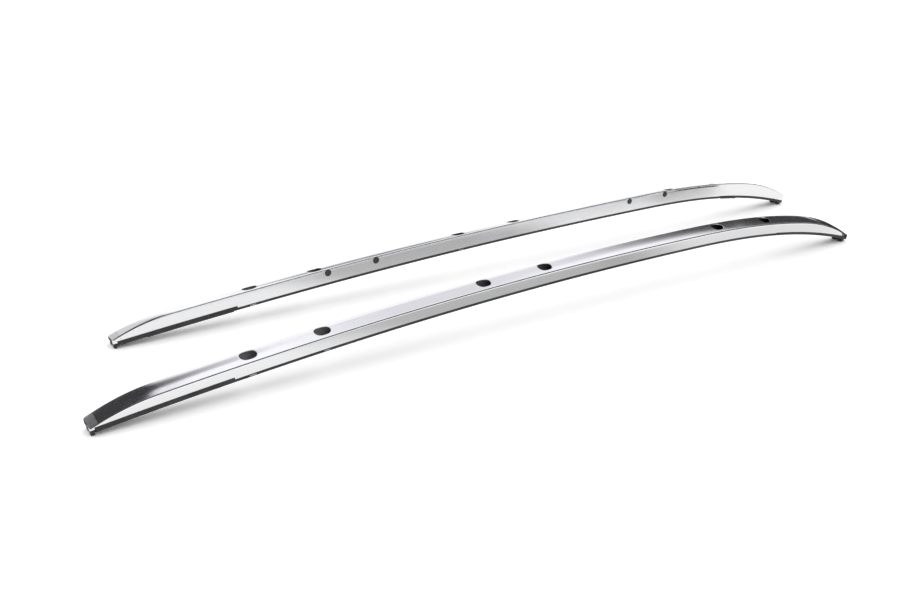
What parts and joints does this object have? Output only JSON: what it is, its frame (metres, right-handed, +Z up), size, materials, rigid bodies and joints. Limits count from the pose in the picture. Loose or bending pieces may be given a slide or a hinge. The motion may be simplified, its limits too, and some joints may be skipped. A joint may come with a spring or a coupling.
{
  "type": "roof side rail pair",
  "caption": "Pair of arched aluminium roof side rails, mirror images of each other, with tapering ends, oblong access slots, round side plugs and black rubber base seals.",
  "frame": {"origin": "centre of the pair on the ground that the feet stand on", "axes": "+X along the rails from the gentle front end to the steep rear end, +Y from the left rail to the right rail, +Z up"},
  "size_m": [1.9256, 0.3302, 0.1054],
  "materials": {
    "rail_aluminium": "polished, clear anodised",
    "cap_grey": "satin grey",
    "seal_rubber": "matt black",
    "foot_black": "matt black",
    "seat_metal": "zinc plated",
    "insert_metal": "plated",
    "plug_black": "satin black"
  },
  "bodies": {
    "root": {"left_rail": "rail_aluminium", "left_front_cap": "cap_grey", "left_rear_cap": "cap_grey", "left_base_seal": "seal_rubber", "left_front_pad": "seal_rubber", "left_rear_pad": "seal_rubber", "left_front_foot": "foot_black", "left_rear_foot": "foot_black", "left_locating_peg": "foot_black", "left_fixing_seat_1": "seat_metal", "left_fixing_seat_2": "seat_metal", "left_fixing_seat_3": "seat_metal", "left_fixing_seat_4": "seat_metal", "left_fixing_seat_5": "seat_metal", "left_fixing_seat_6": "seat_metal", "left_crossbar_nut_1": "insert_metal", "left_crossbar_nut_2": "insert_metal", "left_crossbar_nut_3": "insert_metal", "left_crossbar_nut_4": "insert_metal", "left_crossbar_plug_1": "plug_black", "left_crossbar_plug_2": "plug_black", "left_crossbar_plug_3": "plug_black", "left_crossbar_plug_4": "plug_black", "right_rail": "rail_aluminium", "right_front_cap": "cap_grey", "right_rear_cap": "cap_grey", "right_base_seal": "seal_rubber", "right_front_pad": "seal_rubber", "right_rear_pad": "seal_rubber", "right_front_foot": "foot_black", "right_rear_foot": "foot_black", "right_locating_peg": "foot_black", "right_fixing_seat_1": "seat_metal", "right_fixing_seat_2": "seat_metal", "right_fixing_seat_3": "seat_metal", "right_fixing_seat_4": "seat_metal", "right_fixing_seat_5": "seat_metal", "right_fixing_seat_6": "seat_metal", "right_crossbar_nut_1": "insert_metal", "right_crossbar_nut_2": "insert_metal", "right_crossbar_nut_3": "insert_metal", "right_crossbar_nut_4": "insert_metal", "right_crossbar_plug_1": "plug_black", "right_crossbar_plug_2": "plug_black", "right_crossbar_plug_3": "plug_black", "right_crossbar_plug_4": "plug_black"}
  },
  "joints": []
}
